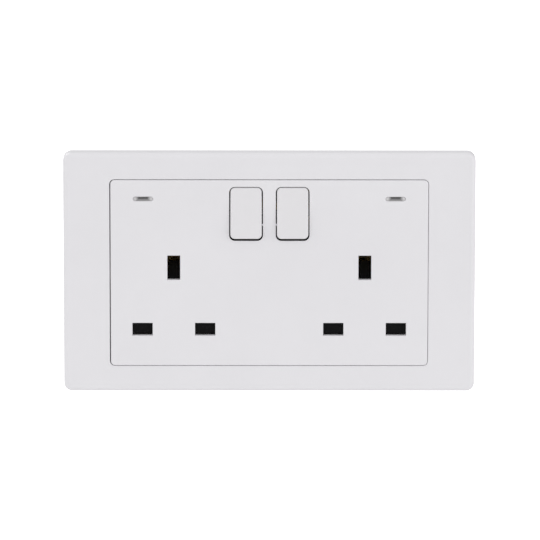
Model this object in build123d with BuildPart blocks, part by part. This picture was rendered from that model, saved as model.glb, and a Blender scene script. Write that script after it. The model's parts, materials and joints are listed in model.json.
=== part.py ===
from build123d import *
import os
from math import atan2, cos, degrees, radians, sin, tan

# A flush-fixing twin wall socket for flat-pin plugs, with two rocker switches and two lamp windows.
# Sizes are in millimetres. X runs to the right and Z up, seen from the room, and the room is at -Y.
# The wall is the plane Y = 0. A height is a distance off the wall, towards the room.

# Surround frame
frame_width = 146.0
frame_tall = 86.0
frame_height = 7.0
frame_corner = 3.0
frame_edge = 1.8
frame_wall = 2.0
frame_shift = 0.105
window_gap_x = 0.225
window_gap_z = 0.17
window_lip = 1.3
window_lip_end = 2.8
leg_length = 8.0
leg_thick = 1.5
leg_end = 0.3
leg_gap = 0.15
leg_x = 36.0
side_leg_inset = 3.1
head_room_width = 14.0
head_room_tall = 16.8
pry_length = 12.0
pry_rise = 1.2

# Front panel
panel_side = 11.25
panel_tall = 66.82
panel_height = 7.2
panel_thick = 2.4
panel_corner = 1.5
panel_edge = 0.3
panel_skirt = 1.6

# Outlets: the pins of a plug and their places
outlet_x = 33.85
pin_pitch = 22.22
line_rise = 13.09
line_hole_width = 7.18
line_hole_tall = 4.55
earth_hole_width = 4.54
earth_hole_tall = 8.74
hole_edge = 0.15

# Rocker switches
rocker_x = 8.24
rocker_drop = 12.11
rocker_width = 11.1
rocker_tall = 18.25
rocker_corner = 1.6
rocker_edge = 0.5
rocker_wall = 1.4
rocker_gap_side = 0.425
rocker_gap_end = 0.575
rocker_pivot = 4.7
rocker_reach = 3.48
rocker_skirt = 0.8
rocker_tilt = 7.0
trunnion_radius = 1.2
trunnion_length = 1.2
running_gap = 0.05
stem_side = 5.2
stem_end = 6.2
plunger_radius = 1.5
plunger_reach = 9.4
plunger_top = 2.4
nose_flat = 0.1
plunger_seat = 1.6
marker_width = 6.0
marker_low = 1.0
marker_high = 2.95
marker_deep = 0.4
pip_tall = 0.56
pip_corner = 0.15
pip_drop = 3.9
pip_reach = 0.4
pip_root = 0.5
pip_foot = 1.0

# Shutters
shutter_thick = 1.9
shutter_gap = 0.2
shutter_cover = 0.6
shutter_travel = 5.4
shutter_stem = 5.2
ramp_width = 3.6
spring_pocket_width = 2.6
shutter_spring_length = 9.8
anchor_thick = 1.0
ramp_foot = 2.6
rail_gap = 0.4
rail_width = 1.2
notch_gap = 1.0
rib_thick = 1.0

# Springs
shutter_spring_radius = 0.75
shutter_spring_wire = 0.3
shutter_spring_turns = 8
plunger_spring_radius = 1.1
plunger_spring_wire = 0.4
plunger_spring_turns = 5

# Contact cover, the inner deck that the shutters slide on
cover_height = 2.5
cover_thick = 2.0
cover_gap = 0.2
cover_hole_gap = 0.2
well_gap = 0.15
bearing_tall = 5.0

# Rear housing
flange_gap = 1.5
flange_corner = 2.0
flange_thick = 2.5
cavity_side = 0.54
cavity_end = 0.2
body_corner = 3.0
body_deep = 21.0
body_wall = 2.0
floor_thick = 2.0
body_edge = 1.0
post_side = 3.0
partition_thick = 1.2
partition_height = -1.0
partition_rise = 2.0
fixing_spacing = 120.6
fixing_width = 4.2
fixing_length = 7.0

# Assembly screws
screw_upper_x = 35.0
screw_upper_z = 17.5
screw_lower_inset = 2.3
screw_radius = 1.45
screw_head_radius = 2.7
screw_head_thick = 1.8
screw_tip = 5.8
screw_end_gap = 0.3
screw_side_gap = 0.15
screw_recess = 1.0
screw_slot_width = 0.7
screw_slot_length = 3.0
boss_radius = 3.9
panel_boss_radius = 2.1
screw_seat_deep = 16.0
thread_gap = 0.03

# Brass strip
strip = 0.8
strip_width = 5.0
bar_width = 4.0
live_post_rise = 4.1
neutral_layer = -5.0
busbar_layer = -9.0
live_layer = -12.2
earth_layer = -16.6
jaw_width = 6.0
earth_jaw_width = 7.0
pin_clear = 0.2
jaw_flare = 0.8
jaw_flare_deep = 1.5
jaw_mouth = -1.0
earth_jaw_mouth = -3.0
pin_thick = 4.0
neutral_bar_rise = 7.32
earth_tail_end = -11.0

# Moving contacts
seesaw_pivot = -5.7
seesaw_tilt = 12.0
seesaw_width = 4.0
seesaw_up = 7.5
seesaw_down = 6.5
seesaw_front = 0.9
seesaw_thick = 1.0
knuckle_radius = 0.8
knuckle_length = 1.5
rivet_at = 6.0
rivet_ball = 2.0
rivet_drop = 0.8
rivet_radius = 1.5
rivet_thick = 0.6
rivet_touch = 0.03
pad_side = 1.0
pad_end = 0.4
ear_gap = 0.25
ear_tall = 4.4
ear_rise = 0.6

# Terminals
terminal_spacing = 12.0
terminal_side = 9.0
cable_radius = 2.6
cable_deep = 13.4
cable_door_radius = 3.0
driver_hole_radius = 3.2
terminal_screw_radius = 1.75
terminal_head_radius = 2.7
terminal_head_thick = 1.6
terminal_slot_width = 0.8
terminal_slot_deep = 0.8
terminal_screw_gap = 0.2
letter_tall = 3.0
letter_wide = 2.0
letter_bar = 0.5
letter_deep = 0.3
letter_rise = 2.0

# Lamp windows, lamps and their wires
lens_drop = 6.75
lens_side = 0.3
lens_width = 7.1
lens_tall = 1.54
lens_gap = 0.05
lens_recess = 0.25
lens_edge = 0.2
lens_flange_width = 9.4
lens_flange_tall = 3.6
lens_flange_thick = 0.8
lamp_radius = 1.5
lamp_top = 3.4
lamp_rim_radius = 1.8
lamp_rim_thick = 0.8
crown_flat = 0.1
board_front = -1.2
board_thick = 1.0
board_width = 10.0
board_tall = 7.0
board_drop = 0.86
board_post = 1.6
wire_drop = 3.26
neutral_wire_side = 2.6
live_wire_side = 1.6
resistor_radius = 1.1
resistor_length = 4.0
lead_reach = 0.8
lead_radius = 0.3
lead_bend = 0.5
wire_radius = 0.6

# Sizes that follow from those above
panel_back = panel_height - panel_thick
cover_back = cover_height - cover_thick
floor_top = floor_thick - body_deep
line_z = line_rise - panel_tall / 2
earth_z = line_z + pin_pitch
neutral_bar_z = line_z + neutral_bar_rise
live_post_z = earth_z + live_post_rise
half_pitch = pin_pitch / 2
outer_pin_x = outlet_x + half_pitch
inner_pin_x = outlet_x - half_pitch
panel_width = 2 * (outer_pin_x + panel_side)
rocker_z = panel_tall / 2 - rocker_drop
rocker_window_width = rocker_width + 2 * rocker_gap_side
rocker_window_tall = rocker_tall + 2 * rocker_gap_end
lens_x = outer_pin_x - lens_side
lens_z = panel_tall / 2 - lens_drop
board_z = lens_z - board_drop
cavity_x = outer_pin_x + board_width / 2 + cavity_side
cavity_z = board_z + board_tall / 2 + cavity_end
body_width = 2 * (cavity_x + body_wall)
body_tall = 2 * (cavity_z + body_wall)
flange_width = frame_width - 2 * (frame_wall + flange_gap)
flange_tall = frame_tall - 2 * (frame_wall + flange_gap)
side_leg_x = flange_width / 2 - side_leg_inset
screw_lower_z = screw_lower_inset - cavity_z
shutter_front = panel_back - shutter_gap
shutter_back = shutter_front - shutter_thick
hole_base = earth_z - earth_hole_tall / 2
hole_top = earth_z + earth_hole_tall / 2
shutter_top = hole_top + 2 * shutter_cover
shutter_foot = hole_base - ramp_foot
anchor_high = shutter_foot - shutter_spring_length
anchor_low = anchor_high - anchor_thick
leaf_top = line_z + line_hole_tall / 2 + shutter_cover
leaf_bottom = line_z - line_hole_tall / 2 - shutter_cover
leaf_side = half_pitch + line_hole_width / 2 + shutter_cover
terminal_base = -cavity_z
terminal_top = terminal_base + terminal_side
terminal_z = (terminal_base + terminal_top) / 2
busbar_back = busbar_layer - strip
neutral_back = neutral_layer - strip
live_back = live_layer - strip
earth_back = earth_layer - strip
board_back = board_front - board_thick
jaw_gap = pin_thick + 2 * pin_clear
trunnion_x = rocker_width / 2 + trunnion_length
bearing_radius = trunnion_radius + running_gap
screw_rows = ((screw_upper_x, screw_upper_z), (outlet_x, screw_lower_z))
screw_places = [(s * x, z) for x, z in screw_rows for s in (-1, 1)]

# Where the domed rivet of a moving contact ends when its switch is on
rivet_centre = rivet_ball - rivet_drop
rivet_land_z = rivet_at * cos(radians(seesaw_tilt)) + rivet_centre * sin(radians(seesaw_tilt))
rivet_land = (
    seesaw_pivot
    - rivet_at * sin(radians(seesaw_tilt))
    + rivet_centre * cos(radians(seesaw_tilt))
    - rivet_ball
)
fixed_rivet_front = rivet_land - rivet_touch
fixed_pad_front = fixed_rivet_front - rivet_thick
fixed_pad_z = rocker_z + rivet_land_z

os.makedirs("parts", exist_ok=True)


def level(height):
    """A plane parallel to the wall that looks into the room, at a height off the wall."""
    return Plane.XZ.offset(height)


def tilted(x, z, height, angle):
    """A plane that looks into the room and up by an angle, at a pivot."""
    look = (0, -cos(radians(angle)), sin(radians(angle)))
    return Plane(origin=(x, -height, z), x_dir=(1, 0, 0), z_dir=look)


def block(x, z, low, high, mode=Mode.ADD):
    """A box between two X values, two Z values and two heights off the wall."""
    centre = (sum(x) / 2, -(low + high) / 2, sum(z) / 2)
    with Locations(centre):
        Box(x[1] - x[0], high - low, z[1] - z[0], mode=mode)


def pillar(place, radius, low, high, mode=Mode.ADD):
    """A round pillar or hole square to the wall, between two heights."""
    with Locations(Location((place[0], -(low + high) / 2, place[1]), (90, 0, 0))):
        Cylinder(radius, high - low, mode=mode)


def across(x, z, height, radius, mode=Mode.ADD):
    """A round bar or hole along X, between two X values."""
    with Locations(Location((sum(x) / 2, -height, z), (0, 90, 0))):
        Cylinder(radius, x[1] - x[0], mode=mode)


def span(centre, width):
    """The two ends of a width about a centre."""
    return (centre - width / 2, centre + width / 2)


def save(piece, name):
    """Labels a finished piece and writes it to its file."""
    piece.part.label = name
    export_step(piece.part, f"parts/{name}.step")


def build_frame():
    """The push-fit surround: one white moulding, open at the back."""
    window_width = panel_width + 2 * window_gap_x
    window_tall = panel_tall + 2 * window_gap_z
    window_corner = panel_corner + window_gap_x
    face_back = frame_height - frame_wall
    with BuildPart() as frame:
        with BuildSketch(level(0)):
            RectangleRounded(frame_width, frame_tall, frame_corner)
        extrude(amount=frame_height)
        fillet(frame.faces().sort_by(Axis.Y)[0].edges(), frame_edge)
        with BuildSketch(level(0)):
            RectangleRounded(
                frame_width - 2 * frame_wall,
                frame_tall - 2 * frame_wall,
                frame_corner - frame_wall,
            )
        extrude(amount=face_back, mode=Mode.SUBTRACT)
        with BuildSketch(level(window_lip_end)):
            with Locations((-frame_shift, 0)):
                RectangleRounded(
                    window_width + 2 * window_lip,
                    window_tall + 2 * window_lip,
                    window_corner + window_lip,
                )
        extrude(amount=face_back - window_lip_end)
        with BuildSketch(level(0)):
            with Locations((-frame_shift, 0)):
                RectangleRounded(window_width, window_tall, window_corner)
        extrude(amount=frame_height, mode=Mode.SUBTRACT)
        front_rim = frame.edges().filter_by(
            lambda e: abs(e.center().Y + frame_height) < 0.001
            and abs(e.center().X) < window_width / 2 + 1
            and abs(e.center().Z) < window_tall / 2 + 1
        )
        fillet(front_rim, panel_edge)
        # Room in the inner lip for the heads of the two wall screws
        for side in (-1, 1):
            block(
                span(side * fixing_spacing / 2, head_room_width),
                span(0, head_room_tall),
                0,
                face_back,
                Mode.SUBTRACT,
            )
        for x, z, size_x, size_z in leg_places():
            block(span(x, size_x), span(z, size_z), leg_end, face_back)
        block(
            span(0, pry_length),
            (-frame_tall / 2, -frame_tall / 2 + frame_wall),
            0,
            pry_rise,
            Mode.SUBTRACT,
        )
    return frame


def leg_places():
    """Centre and size of each push-fit leg: four along the long edges and one at each end."""
    long_z = (panel_tall / 2 + flange_tall / 2) / 2
    legs = [
        (sx * leg_x, sz * long_z, leg_length, leg_thick) for sx in (-1, 1) for sz in (-1, 1)
    ]
    legs += [(s * side_leg_x, 0, leg_thick, leg_length) for s in (-1, 1)]
    return legs


def build_panel():
    """The front panel with the pin holes, the two rocker windows and the two lamp windows."""
    with BuildPart() as panel:
        with BuildSketch(level(cover_height)):
            RectangleRounded(panel_width, panel_tall, panel_corner)
        extrude(amount=panel_height - cover_height)
        fillet(panel.faces().sort_by(Axis.Y)[0].edges(), panel_edge)
        with BuildSketch(level(cover_height)):
            Rectangle(panel_width - 2 * panel_skirt, panel_tall - 2 * panel_skirt)
        extrude(amount=panel_back - cover_height, mode=Mode.SUBTRACT)
        # Pillars for the assembly screws, and the ribs that guide and stop the shutters
        for place in screw_places:
            pillar(place, panel_boss_radius, cover_height, panel_back)
        for side in (-1, 1):
            centre = side * outlet_x
            rib = leaf_side + shutter_gap
            for edge in (-1, 1):
                block(
                    tuple(sorted((centre + edge * rib, centre + edge * (rib + rib_thick)))),
                    (leaf_bottom - shutter_travel, leaf_top),
                    cover_height + shutter_gap,
                    panel_back,
                )
            stop = shutter_top + shutter_gap
            block(
                span(centre, shutter_stem),
                (stop, stop + rib_thick),
                cover_height + shutter_gap,
                panel_back,
            )
        with BuildSketch(level(panel_height)):
            for side in (-1, 1):
                with Locations((side * rocker_x, rocker_z)):
                    RectangleRounded(
                        rocker_window_width,
                        rocker_window_tall,
                        rocker_corner + (rocker_window_width - rocker_width) / 2,
                    )
                with Locations((side * outlet_x, earth_z)):
                    Rectangle(earth_hole_width, earth_hole_tall)
                with Locations((side * outer_pin_x, line_z), (side * inner_pin_x, line_z)):
                    Rectangle(line_hole_width, line_hole_tall)
                with Locations((side * lens_x, lens_z)):
                    SlotOverall(lens_width, lens_tall)
        extrude(amount=-panel_thick, mode=Mode.SUBTRACT)
        front = panel.faces().sort_by(Axis.Y)[0]
        holes = [w for w in front.inner_wires() if w.length < 2 * (earth_hole_width + earth_hole_tall) + 1]
        chamfer([e for w in holes for e in w.edges()], hole_edge)
        # Half bearings for the rocker trunnions, in the back of the panel
        for side in (-1, 1):
            for edge in (-1, 1):
                reach = rocker_window_width / 2 + trunnion_length
                start = side * rocker_x
                across(
                    tuple(sorted((start, start + edge * reach))),
                    rocker_z,
                    rocker_pivot,
                    bearing_radius,
                    Mode.SUBTRACT,
                )
        for place in screw_places:
            tapped = screw_radius + thread_gap
            pillar(place, tapped, cover_height, screw_tip + screw_end_gap, Mode.SUBTRACT)
        # A small guide pip on each side of the bar between the rockers
        for side in (-1, 1):
            wall = side * (rocker_x - rocker_window_width / 2)
            pip_x = wall + side * (pip_reach - pip_root) / 2
            with BuildSketch(level(panel_back + pip_foot)):
                with Locations((pip_x, rocker_z - pip_drop)):
                    RectangleRounded(pip_reach + pip_root, pip_tall, pip_corner)
            extrude(amount=panel_thick - pip_foot)
    return panel


def build_cover():
    """The contact cover: an inner deck with the pin holes, rocker wells and bearing posts."""
    with BuildPart() as cover:
        with BuildSketch(level(cover_back)):
            Rectangle(2 * (cavity_x - cover_gap), 2 * (cavity_z - cover_gap))
        extrude(amount=cover_thick)
        well_width = rocker_window_width + 2 * well_gap
        with BuildSketch(level(cover_back)):
            for side in (-1, 1):
                with Locations((side * rocker_x, rocker_z)):
                    Rectangle(well_width, rocker_window_tall - 2 * rocker_wall)
                with Locations((side * outer_pin_x, line_z), (side * inner_pin_x, line_z)):
                    Rectangle(line_hole_width + 2 * cover_hole_gap, line_hole_tall + 2 * cover_hole_gap)
                with Locations((side * lens_x, lens_z)):
                    Circle(lamp_radius + cover_hole_gap)
            with Locations(*screw_places):
                Circle(screw_radius + screw_side_gap)
        extrude(amount=cover_thick, mode=Mode.SUBTRACT)
        for side in (-1, 1):
            # The long slot that the ramp of the shutter runs in
            block(
                span(side * outlet_x, earth_hole_width + 2 * rail_gap),
                (shutter_foot - shutter_travel - rail_gap, hole_top + rail_gap),
                cover_back,
                cover_height,
                Mode.SUBTRACT,
            )
            block(
                span(side * outlet_x, spring_pocket_width - 2 * shutter_gap),
                (anchor_low, anchor_high),
                cover_back,
                shutter_front,
            )
            outer_post = (
                side * (rocker_x + well_width / 2),
                side * (rocker_x + well_width / 2 + trunnion_length),
            )
            block(tuple(sorted(outer_post)), span(rocker_z, bearing_tall), cover_back, rocker_pivot)
        inner_post = rocker_x - well_width / 2
        block((-inner_post, inner_post), span(rocker_z, bearing_tall), cover_back, rocker_pivot)
        bearing_end = rocker_x + well_width / 2 + trunnion_length
        across((-bearing_end, bearing_end), rocker_z, rocker_pivot, bearing_radius, Mode.SUBTRACT)
    return cover


def build_housing():
    """The rear housing: a wall flange and a box that holds the contacts and terminals."""
    with BuildPart() as housing:
        with BuildSketch(level(0)):
            RectangleRounded(flange_width, flange_tall, flange_corner)
        extrude(amount=flange_thick)
        with BuildSketch(level(0)):
            RectangleRounded(body_width, body_tall, body_corner)
        extrude(amount=-body_deep)
        fillet(housing.faces().sort_by(Axis.Y)[-1].edges(), body_edge)
        with BuildSketch(level(floor_top)):
            Rectangle(2 * cavity_x, 2 * cavity_z)
        extrude(amount=flange_thick - floor_top, mode=Mode.SUBTRACT)
        for side in (-1, 1):
            with BuildSketch(level(0)):
                with Locations((side * fixing_spacing / 2, 0)):
                    SlotOverall(fixing_length, fixing_width)
            extrude(amount=flange_thick, mode=Mode.SUBTRACT)
        for x, z, size_x, size_z in leg_places():
            block(
                span(x, size_x + 2 * leg_gap),
                span(z, size_z + 2 * leg_gap),
                0,
                flange_thick,
                Mode.SUBTRACT,
            )
        for place in screw_places:
            pillar(place, boss_radius, floor_top, cover_back)
        for x, z, side, top in support_places():
            block(span(x, side), span(z, side), floor_top, top)
        # Insulating walls beside the terminals
        inner_x = terminal_spacing / 2
        outer_x = terminal_spacing + inner_x
        for x in (-outer_x, -inner_x, inner_x, outer_x):
            block(
                span(x, partition_thick),
                (-cavity_z, terminal_top + partition_rise),
                floor_top,
                partition_height,
            )
        for place in screw_places:
            pillar(place, screw_radius + screw_side_gap, floor_top, cover_back, Mode.SUBTRACT)
            head_hole = screw_head_radius + screw_side_gap
            pillar(place, head_hole, -body_deep, -screw_seat_deep, Mode.SUBTRACT)
        for side in (-1, 0, 1):
            terminal_x = side * terminal_spacing
            pillar((terminal_x, terminal_z), driver_hole_radius, -body_deep, floor_top, Mode.SUBTRACT)
            with Locations((terminal_x, cable_deep, -body_tall / 2 + body_wall / 2)):
                Cylinder(cable_door_radius, body_wall, mode=Mode.SUBTRACT)
        # Terminal letters, sunk in the back and read from behind
        marks = {"N": -terminal_spacing, "E": 0, "L": terminal_spacing}
        for mark, x in marks.items():
            place = (x, body_deep, terminal_top + letter_rise)
            with BuildSketch(Plane(origin=place, x_dir=(-1, 0, 0), z_dir=(0, 1, 0))):
                for bar_x, bar_y, bar_width, bar_tall, turn in letter_bars(mark):
                    with Locations(Location((bar_x, bar_y, 0), (0, 0, turn))):
                        Rectangle(bar_width, bar_tall)
            extrude(amount=-letter_deep, mode=Mode.SUBTRACT)
    return housing


def letter_bars(letter):
    """The straight bars of a terminal letter: centre, size and turn of each."""
    side_x = (letter_wide - letter_bar) / 2
    end_y = (letter_tall - letter_bar) / 2
    left = (-side_x, 0, letter_bar, letter_tall, 0)
    if letter == "L":
        return [left, (0, -end_y, letter_wide, letter_bar, 0)]
    if letter == "N":
        slant = degrees(atan2(2 * side_x, letter_tall))
        return [left, (side_x, 0, letter_bar, letter_tall, 0), (0, 0, letter_bar, letter_tall, slant)]
    return [left] + [(0, y, letter_wide, letter_bar, 0) for y in (-end_y, 0, end_y)]


def support_places():
    """Posts on the housing's floor that carry the brass and the lamp boards: centre, size, top."""
    posts = [(s * rocker_x, rocker_z, post_side, busbar_back) for s in (-1, 1)]
    posts += [(s * rocker_x, fixed_pad_z, post_side, fixed_pad_front - strip) for s in (-1, 1)]
    posts += [(x, neutral_bar_z, post_side, neutral_back) for x in (-outer_pin_x, -outlet_x, inner_pin_x)]
    posts += [(x, line_z, post_side, live_back) for x in (-outer_pin_x, inner_pin_x)]
    posts += [
        (x, z, post_side, live_back)
        for x in (-inner_pin_x, outer_pin_x)
        for z in (line_z, live_post_z)
    ]
    posts += [(x, earth_z, post_side, earth_back) for x in (-outlet_x, 0, outlet_x)]
    board_post_x = outer_pin_x + (board_width - board_post) / 2
    board_post_rise = (board_tall - board_post) / 2
    posts += [
        (s * board_post_x, board_z + edge * board_post_rise, board_post, board_back)
        for s in (-1, 1)
        for edge in (-1, 1)
    ]
    return posts


def build_rocker(side):
    """A rocker: a hollow cap on two trunnions, with a stem that holds the spring and plunger."""
    pivot = tilted(side * rocker_x, rocker_z, rocker_pivot, rocker_tilt)
    under = rocker_reach - rocker_wall
    with BuildPart() as rocker:
        with BuildSketch(pivot.offset(-rocker_skirt)):
            RectangleRounded(rocker_width, rocker_tall, rocker_corner)
        extrude(amount=rocker_reach + rocker_skirt)
        top = max(rocker.faces().filter_by(pivot), key=lambda f: pivot.to_local_coords(f.center()).Z)
        fillet(top.edges(), rocker_edge)
        with BuildSketch(pivot.offset(-rocker_skirt)):
            Rectangle(rocker_width - 2 * rocker_wall, rocker_tall - 2 * rocker_wall)
        extrude(amount=under + rocker_skirt, mode=Mode.SUBTRACT)
        # A cross web ties the trunnions to the stem
        with BuildSketch(pivot.offset(-rocker_skirt)):
            Rectangle(rocker_width - rocker_wall, 2 * trunnion_radius)
        extrude(amount=under + rocker_skirt)
        with BuildSketch(pivot.offset(-stem_end)):
            Rectangle(stem_side, stem_side)
        extrude(amount=stem_end + under)
        with BuildSketch(pivot.offset(-stem_end)):
            Circle(plunger_radius + running_gap)
        extrude(amount=stem_end + plunger_seat, mode=Mode.SUBTRACT)
        for edge in (-1, 1):
            near = side * rocker_x + edge * (rocker_width - rocker_wall) / 2
            far = side * rocker_x + edge * trunnion_x
            across(tuple(sorted((near, far))), rocker_z, rocker_pivot, trunnion_radius)
        with BuildSketch(marker_plane(side)):
            Rectangle(marker_width, marker_high - marker_low)
        extrude(amount=-marker_deep, mode=Mode.SUBTRACT)
    return rocker


def marker_plane(side):
    """The plane of the rocker's upper end wall, at the middle of the red mark."""
    pivot = tilted(side * rocker_x, rocker_z, rocker_pivot, rocker_tilt)
    middle = (marker_low + marker_high) / 2
    origin = pivot.from_local_coords((0, rocker_tall / 2, middle))
    return Plane(origin=origin, x_dir=(1, 0, 0), z_dir=pivot.y_dir)


def build_marker(side):
    """The red mark let into the rocker's upper end wall, seen when the switch is on."""
    with BuildPart() as marker:
        with BuildSketch(marker_plane(side)):
            Rectangle(marker_width, marker_high - marker_low)
        extrude(amount=-marker_deep)
    return marker


def build_plunger(side):
    """The round-nosed plunger that the rocker's spring presses on the moving contact."""
    pivot = tilted(side * rocker_x, rocker_z, rocker_pivot, rocker_tilt)
    with BuildPart() as plunger:
        with BuildSketch(pivot.offset(-plunger_reach)):
            Circle(plunger_radius)
        extrude(amount=plunger_reach - plunger_top)
        nose = min(
            plunger.edges().filter_by(GeomType.CIRCLE),
            key=lambda e: pivot.to_local_coords(e.center()).Z,
        )
        fillet(nose, plunger_radius - nose_flat)
    return plunger


def build_coil(plane, radius, wire, length, turns):
    """A compression spring on a plane, its axis along the plane's normal, with closed end rings."""
    rise = length - wire
    with BuildPart() as coil:
        with BuildLine(plane.offset(wire / 2)) as path:
            Helix(pitch=rise / turns, height=rise, radius=radius, direction=plane.z_dir)
        with BuildSketch(Plane(origin=path.line @ 0, z_dir=path.line % 0)):
            Circle(wire / 2)
        sweep(path=path.line, is_frenet=True)
    return coil


def build_moving_contact(side):
    """A see-saw contact: a brass strip on a knuckle, with a domed rivet at its upper end."""
    centre = side * rocker_x
    pivot = tilted(centre, rocker_z, seesaw_pivot, -seesaw_tilt)
    with BuildPart() as contact:
        with BuildSketch(pivot.offset(seesaw_front - seesaw_thick)):
            with Locations((0, (seesaw_up - seesaw_down) / 2)):
                Rectangle(seesaw_width, seesaw_up + seesaw_down)
        extrude(amount=seesaw_thick)
        knuckle = seesaw_width / 2 + knuckle_length
        across((centre - knuckle, centre + knuckle), rocker_z, seesaw_pivot, knuckle_radius)
        back = seesaw_front - seesaw_thick
        ball = pivot.from_local_coords((0, rivet_at, rivet_centre))
        dome = Sphere(rivet_ball, mode=Mode.PRIVATE).moved(Location(ball))
        dome = split(
            dome,
            bisect_by=pivot.offset(back),
            keep=Keep.BOTTOM,
            mode=Mode.PRIVATE,
        )
        add(dome)
    return contact


def add_jaw(plane, mouth, base, width):
    """A sprung U of strip, open and flared at its mouth. The plane's X runs across the gap."""
    half = jaw_gap / 2
    neck = mouth - jaw_flare_deep
    outer = [
        (half + strip + jaw_flare, mouth),
        (half + strip, neck),
        (half + strip, base - strip),
    ]
    inner = [(half, base), (half, neck), (half + jaw_flare, mouth)]
    points = outer + [(-x, y) for x, y in reversed(outer)] + [(-x, y) for x, y in reversed(inner)] + inner
    with BuildSketch(plane) as profile:
        with BuildLine():
            Polyline(*points, close=True)
        make_face()
    extrude(profile.sketch, amount=width / 2, both=True)


def add_line_jaw(x):
    """The jaw of a live or neutral pin, whose broad sides face up and down."""
    plane = Plane(origin=(x, 0, line_z), x_dir=(0, 0, 1), z_dir=(1, 0, 0))
    add_jaw(plane, jaw_mouth, live_layer, jaw_width)


def build_neutral():
    """The neutral contact: one bar with a jaw at each outlet and a tail on its terminal."""
    with BuildPart() as neutral:
        for x in (-outer_pin_x, inner_pin_x):
            add_line_jaw(x)
            block(
                span(x, jaw_width),
                (line_z + jaw_gap / 2, neutral_bar_z),
                neutral_back,
                neutral_layer,
            )
        bar = (-outer_pin_x - jaw_width / 2, inner_pin_x + jaw_width / 2)
        block(bar, span(neutral_bar_z, bar_width), neutral_back, neutral_layer)
        block(
            span(-terminal_spacing, strip_width),
            (terminal_z, neutral_bar_z),
            neutral_back,
            neutral_layer,
        )
    return neutral


def build_live(side):
    """A switched live contact: a pin jaw and a strip up to the fixed rivet of its switch."""
    jaw_x = outer_pin_x if side > 0 else -inner_pin_x
    rocker_centre = side * rocker_x
    riser = rocker_centre + side * (rivet_radius + pad_side)
    with BuildPart() as live:
        add_line_jaw(jaw_x)
        block(span(jaw_x, strip_width), (line_z, fixed_pad_z), live_back, live_layer)
        run = tuple(sorted((riser, jaw_x + side * strip_width / 2)))
        block(run, span(fixed_pad_z, bar_width), live_back, live_layer)
        wall = tuple(sorted((riser, riser + side * strip)))
        block(wall, span(fixed_pad_z, bar_width), live_back, fixed_pad_front)
        pad = tuple(sorted((rocker_centre - side * (rivet_radius + pad_end), riser + side * strip)))
        block(pad, span(fixed_pad_z, bar_width), fixed_pad_front - strip, fixed_pad_front)
        pillar((rocker_centre, fixed_pad_z), rivet_radius, fixed_pad_front, fixed_rivet_front)
    return live


def build_busbar():
    """The incoming live bar: it lies on its terminal and carries both moving contacts."""
    ear_in = seesaw_width / 2 + ear_gap
    with BuildPart() as busbar:
        block(
            span(terminal_spacing, strip_width),
            (terminal_z, rocker_z),
            busbar_back,
            busbar_layer,
        )
        end = rocker_x + ear_in + strip
        block(
            (-end, terminal_spacing + strip_width / 2),
            span(rocker_z, strip_width),
            busbar_back,
            busbar_layer,
        )
        for side in (-1, 1):
            for edge in (-1, 1):
                ear = (side * rocker_x + edge * ear_in, side * rocker_x + edge * (ear_in + strip))
                block(
                    tuple(sorted(ear)),
                    span(rocker_z, ear_tall),
                    busbar_layer,
                    seesaw_pivot + ear_rise,
                )
        notch = knuckle_radius + running_gap
        across((-end, end), rocker_z, seesaw_pivot, notch, Mode.SUBTRACT)
        mouth = seesaw_pivot + ear_rise
        block((-end, end), span(rocker_z, 2 * notch), seesaw_pivot, mouth, Mode.SUBTRACT)
    return busbar


def build_earth():
    """The earth strap: a bar with a jaw at each outlet and a tail on its terminal."""
    with BuildPart() as earth:
        for side in (-1, 1):
            plane = Plane(origin=(side * outlet_x, 0, earth_z), x_dir=(1, 0, 0), z_dir=(0, 0, -1))
            add_jaw(plane, earth_jaw_mouth, earth_layer, earth_jaw_width)
        block((-outlet_x, outlet_x), span(earth_z, strip_width), earth_back, earth_layer)
        block(span(0, strip_width), (terminal_top, earth_z), earth_back, earth_layer)
        block(span(0, strip_width), (terminal_top, terminal_top + strip), earth_back, earth_tail_end)
    return earth


def build_terminal(x, front):
    """A brass pillar terminal: a block with a cable bore from below and a screw from behind."""
    with BuildPart() as terminal:
        block(span(x, terminal_side), (terminal_base, terminal_top), floor_top, front)
        with Locations((x, cable_deep, terminal_z)):
            Cylinder(cable_radius, terminal_side, mode=Mode.SUBTRACT)
        pillar((x, terminal_z), terminal_screw_radius + thread_gap, floor_top, -cable_deep, Mode.SUBTRACT)
    return terminal


def build_terminal_screws():
    """The three terminal screws, backed off so that a cable can go in."""
    tip = -cable_deep - cable_radius - terminal_screw_gap
    head_front = -body_deep + terminal_head_thick
    with BuildPart() as screws:
        for side in (-1, 0, 1):
            place = (side * terminal_spacing, terminal_z)
            pillar(place, terminal_screw_radius, head_front, tip)
            pillar(place, terminal_head_radius, -body_deep, head_front)
            block(
                span(place[0], terminal_slot_width),
                span(terminal_z, 2 * terminal_head_radius),
                -body_deep,
                -body_deep + terminal_slot_deep,
                Mode.SUBTRACT,
            )
    return screws


def build_assembly_screws():
    """The four screws that draw the front panel onto the rear housing."""
    head_back = -screw_seat_deep - screw_head_thick
    with BuildPart() as screws:
        for place in screw_places:
            pillar(place, screw_radius, -screw_seat_deep, screw_tip)
            pillar(place, screw_head_radius, head_back, -screw_seat_deep)
            for wide, tall in (
                (screw_slot_length, screw_slot_width),
                (screw_slot_width, screw_slot_length),
            ):
                block(
                    span(place[0], wide),
                    span(place[1], tall),
                    head_back,
                    head_back + screw_recess,
                    Mode.SUBTRACT,
                )
    return screws


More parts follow.
